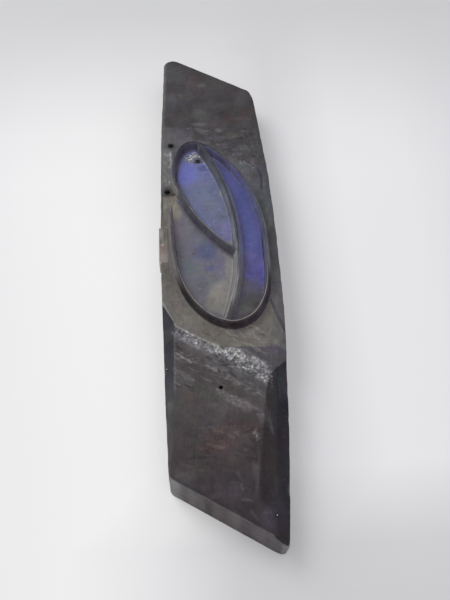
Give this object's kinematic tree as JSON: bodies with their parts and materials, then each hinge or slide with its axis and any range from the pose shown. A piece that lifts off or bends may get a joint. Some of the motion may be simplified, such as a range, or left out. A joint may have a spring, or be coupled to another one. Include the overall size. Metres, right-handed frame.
{
  "type": "hand printing block",
  "caption": "Long one-plank printing block: a raised leaf and crescent outline with strips and felt inlays between two lower bevelled hand grips, with slanted ends and worn chamfers.",
  "frame": {"origin": "middle of the flat back of the plank, on the table", "axes": "X across the plank, +Y along the plank toward the end with the rounded nose, +Z out of the printing side"},
  "size_m": [0.0996, 0.4978, 0.0436],
  "materials": {
    "worn_wood": "dark grey brown, worn, waxed by ink and hands",
    "strip_metal": "dull, tarnished, bright along the worn edge",
    "light_felt": "matte, light blue, stained",
    "deep_felt": "matte, deep violet blue",
    "grey_felt": "matte, grey mauve, mottled",
    "patch_wood": "pale, bare, matte",
    "pin_metal": "small, bright, rubbed"
  },
  "bodies": {
    "root": {"wood_block": "worn_wood", "outer_strip": "strip_metal", "petal_strip": "strip_metal", "crescent_strip": "strip_metal", "petal_felt": "light_felt", "crescent_felt": "deep_felt", "lower_felt": "grey_felt", "edge_patch": "patch_wood", "grip_pin": "pin_metal", "edge_pin": "pin_metal"}
  },
  "joints": []
}
